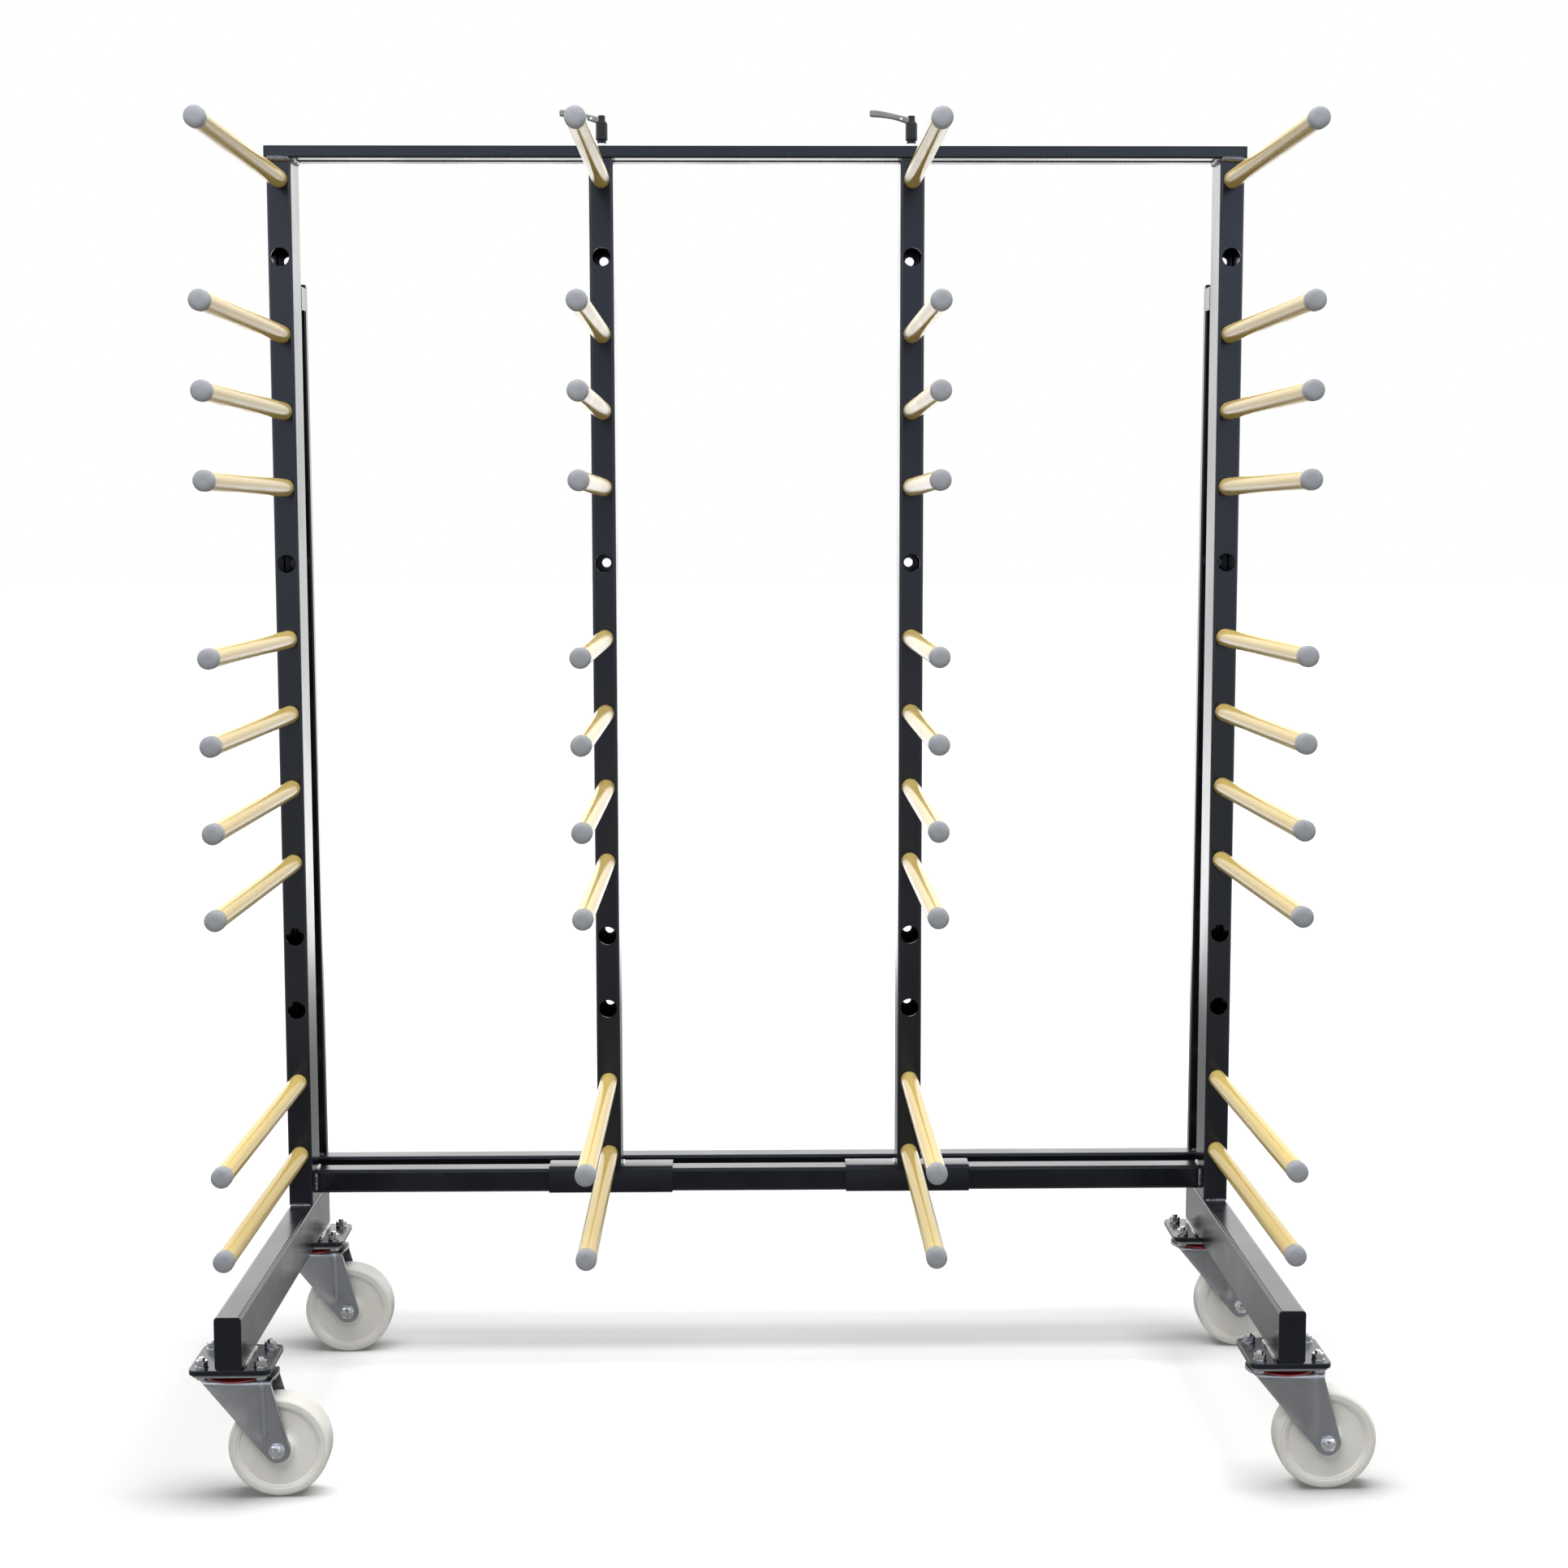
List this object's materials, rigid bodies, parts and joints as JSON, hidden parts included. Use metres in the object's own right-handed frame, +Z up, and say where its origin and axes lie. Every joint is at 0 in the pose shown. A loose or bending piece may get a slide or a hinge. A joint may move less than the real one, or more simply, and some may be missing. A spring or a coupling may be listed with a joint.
{
  "type": "mobile peg-arm rack",
  "caption": "Wheeled rack with rows of long horizontal plastic-covered arms on fixed and sliding steel posts, for holding long goods flat while they dry or wait.",
  "frame": {"origin": "middle of the footprint's bounding box, on the floor", "axes": "+Z up; +X along the frame's width, the way the casters trail; the arms point to -Y"},
  "size_m": [1.758, 0.788, 2.1169],
  "materials": {
    "frame_black": "semi-gloss black powder coat",
    "lever_black": "satin black die casting",
    "arm_cream": "glossy cream cover with a grey end cap",
    "zinc": "bluish zinc plate",
    "nylon_white": "off-white nylon"
  },
  "bodies": {
    "frame": {"left_foot": "frame_black", "right_foot": "frame_black", "left_end_post": "frame_black", "right_end_post": "frame_black", "top_front_bar": "frame_black", "top_rear_bar": "frame_black", "front_rail": "frame_black", "rear_frame": "frame_black", "left_end_arm_01": "arm_cream", "left_end_arm_03": "arm_cream", "left_end_arm_04": "arm_cream", "left_end_arm_05": "arm_cream", "left_end_arm_07": "arm_cream", "left_end_arm_08": "arm_cream", "left_end_arm_09": "arm_cream", "left_end_arm_10": "arm_cream", "left_end_arm_13": "arm_cream", "left_end_arm_14": "arm_cream", "right_end_arm_01": "arm_cream", "right_end_arm_03": "arm_cream", "right_end_arm_04": "arm_cream", "right_end_arm_05": "arm_cream", "right_end_arm_07": "arm_cream", "right_end_arm_08": "arm_cream", "right_end_arm_09": "arm_cream", "right_end_arm_10": "arm_cream", "right_end_arm_13": "arm_cream", "right_end_arm_14": "arm_cream"},
    "left_mid": {"left_mid_post": "frame_black", "left_mid_arm_01": "arm_cream", "left_mid_arm_03": "arm_cream", "left_mid_arm_04": "arm_cream", "left_mid_arm_05": "arm_cream", "left_mid_arm_07": "arm_cream", "left_mid_arm_08": "arm_cream", "left_mid_arm_09": "arm_cream", "left_mid_arm_10": "arm_cream", "left_mid_arm_13": "arm_cream", "left_mid_arm_14": "arm_cream"},
    "left_lever": {"left_clamp_lever": "lever_black"},
    "right_mid": {"right_mid_post": "frame_black", "right_mid_arm_01": "arm_cream", "right_mid_arm_03": "arm_cream", "right_mid_arm_04": "arm_cream", "right_mid_arm_05": "arm_cream", "right_mid_arm_07": "arm_cream", "right_mid_arm_08": "arm_cream", "right_mid_arm_09": "arm_cream", "right_mid_arm_10": "arm_cream", "right_mid_arm_13": "arm_cream", "right_mid_arm_14": "arm_cream"},
    "right_lever": {"right_clamp_lever": "lever_black"},
    "front_left_caster": {"front_left_fork": "zinc"},
    "front_left_roller": {"front_left_wheel": "nylon_white"},
    "front_right_caster": {"front_right_fork": "zinc"},
    "front_right_roller": {"front_right_wheel": "nylon_white"},
    "rear_left_caster": {"rear_left_fork": "zinc"},
    "rear_left_roller": {"rear_left_wheel": "nylon_white"},
    "rear_right_caster": {"rear_right_fork": "zinc"},
    "rear_right_roller": {"rear_right_wheel": "nylon_white"}
  },
  "joints": [
    {"name": "left_mid_slide", "type": "slide", "parent": "frame", "child": "left_mid", "axis": [1, 0, 0], "range_m": [-0.395, 0.145]},
    {"name": "right_mid_slide", "type": "slide", "parent": "frame", "child": "right_mid", "axis": [1, 0, 0], "range_m": [-0.145, 0.395]},
    {"name": "left_lever_turn", "type": "hinge", "parent": "left_mid", "child": "left_lever", "pos_m": [-0.29403, 0.266, 2.0523], "axis": [0, 0, 1], "range_deg": [0, 180]},
    {"name": "right_lever_turn", "type": "hinge", "parent": "right_mid", "child": "right_lever", "pos_m": [0.21597, 0.266, 2.0523], "axis": [0, 0, 1], "range_deg": [0, 180]},
    {"name": "front_left_swivel", "type": "hinge", "parent": "frame", "child": "front_left_caster", "pos_m": [-0.81903, -0.314, 0.185], "axis": [0, 0, 1], "continuous": true},
    {"name": "front_left_spin", "type": "hinge", "parent": "front_left_caster", "child": "front_left_roller", "pos_m": [-0.75603, -0.314, 0.07506], "axis": [0, 1, 0], "continuous": true},
    {"name": "front_right_swivel", "type": "hinge", "parent": "frame", "child": "front_right_caster", "pos_m": [0.74097, -0.314, 0.185], "axis": [0, 0, 1], "continuous": true},
    {"name": "front_right_spin", "type": "hinge", "parent": "front_right_caster", "child": "front_right_roller", "pos_m": [0.80397, -0.314, 0.07506], "axis": [0, 1, 0], "continuous": true},
    {"name": "rear_left_swivel", "type": "hinge", "parent": "frame", "child": "rear_left_caster", "pos_m": [-0.81903, 0.334, 0.185], "axis": [0, 0, 1], "continuous": true},
    {"name": "rear_left_spin", "type": "hinge", "parent": "rear_left_caster", "child": "rear_left_roller", "pos_m": [-0.75603, 0.334, 0.07506], "axis": [0, 1, 0], "continuous": true},
    {"name": "rear_right_swivel", "type": "hinge", "parent": "frame", "child": "rear_right_caster", "pos_m": [0.74097, 0.334, 0.185], "axis": [0, 0, 1], "continuous": true},
    {"name": "rear_right_spin", "type": "hinge", "parent": "rear_right_caster", "child": "rear_right_roller", "pos_m": [0.80397, 0.334, 0.07506], "axis": [0, 1, 0], "continuous": true}
  ]
}
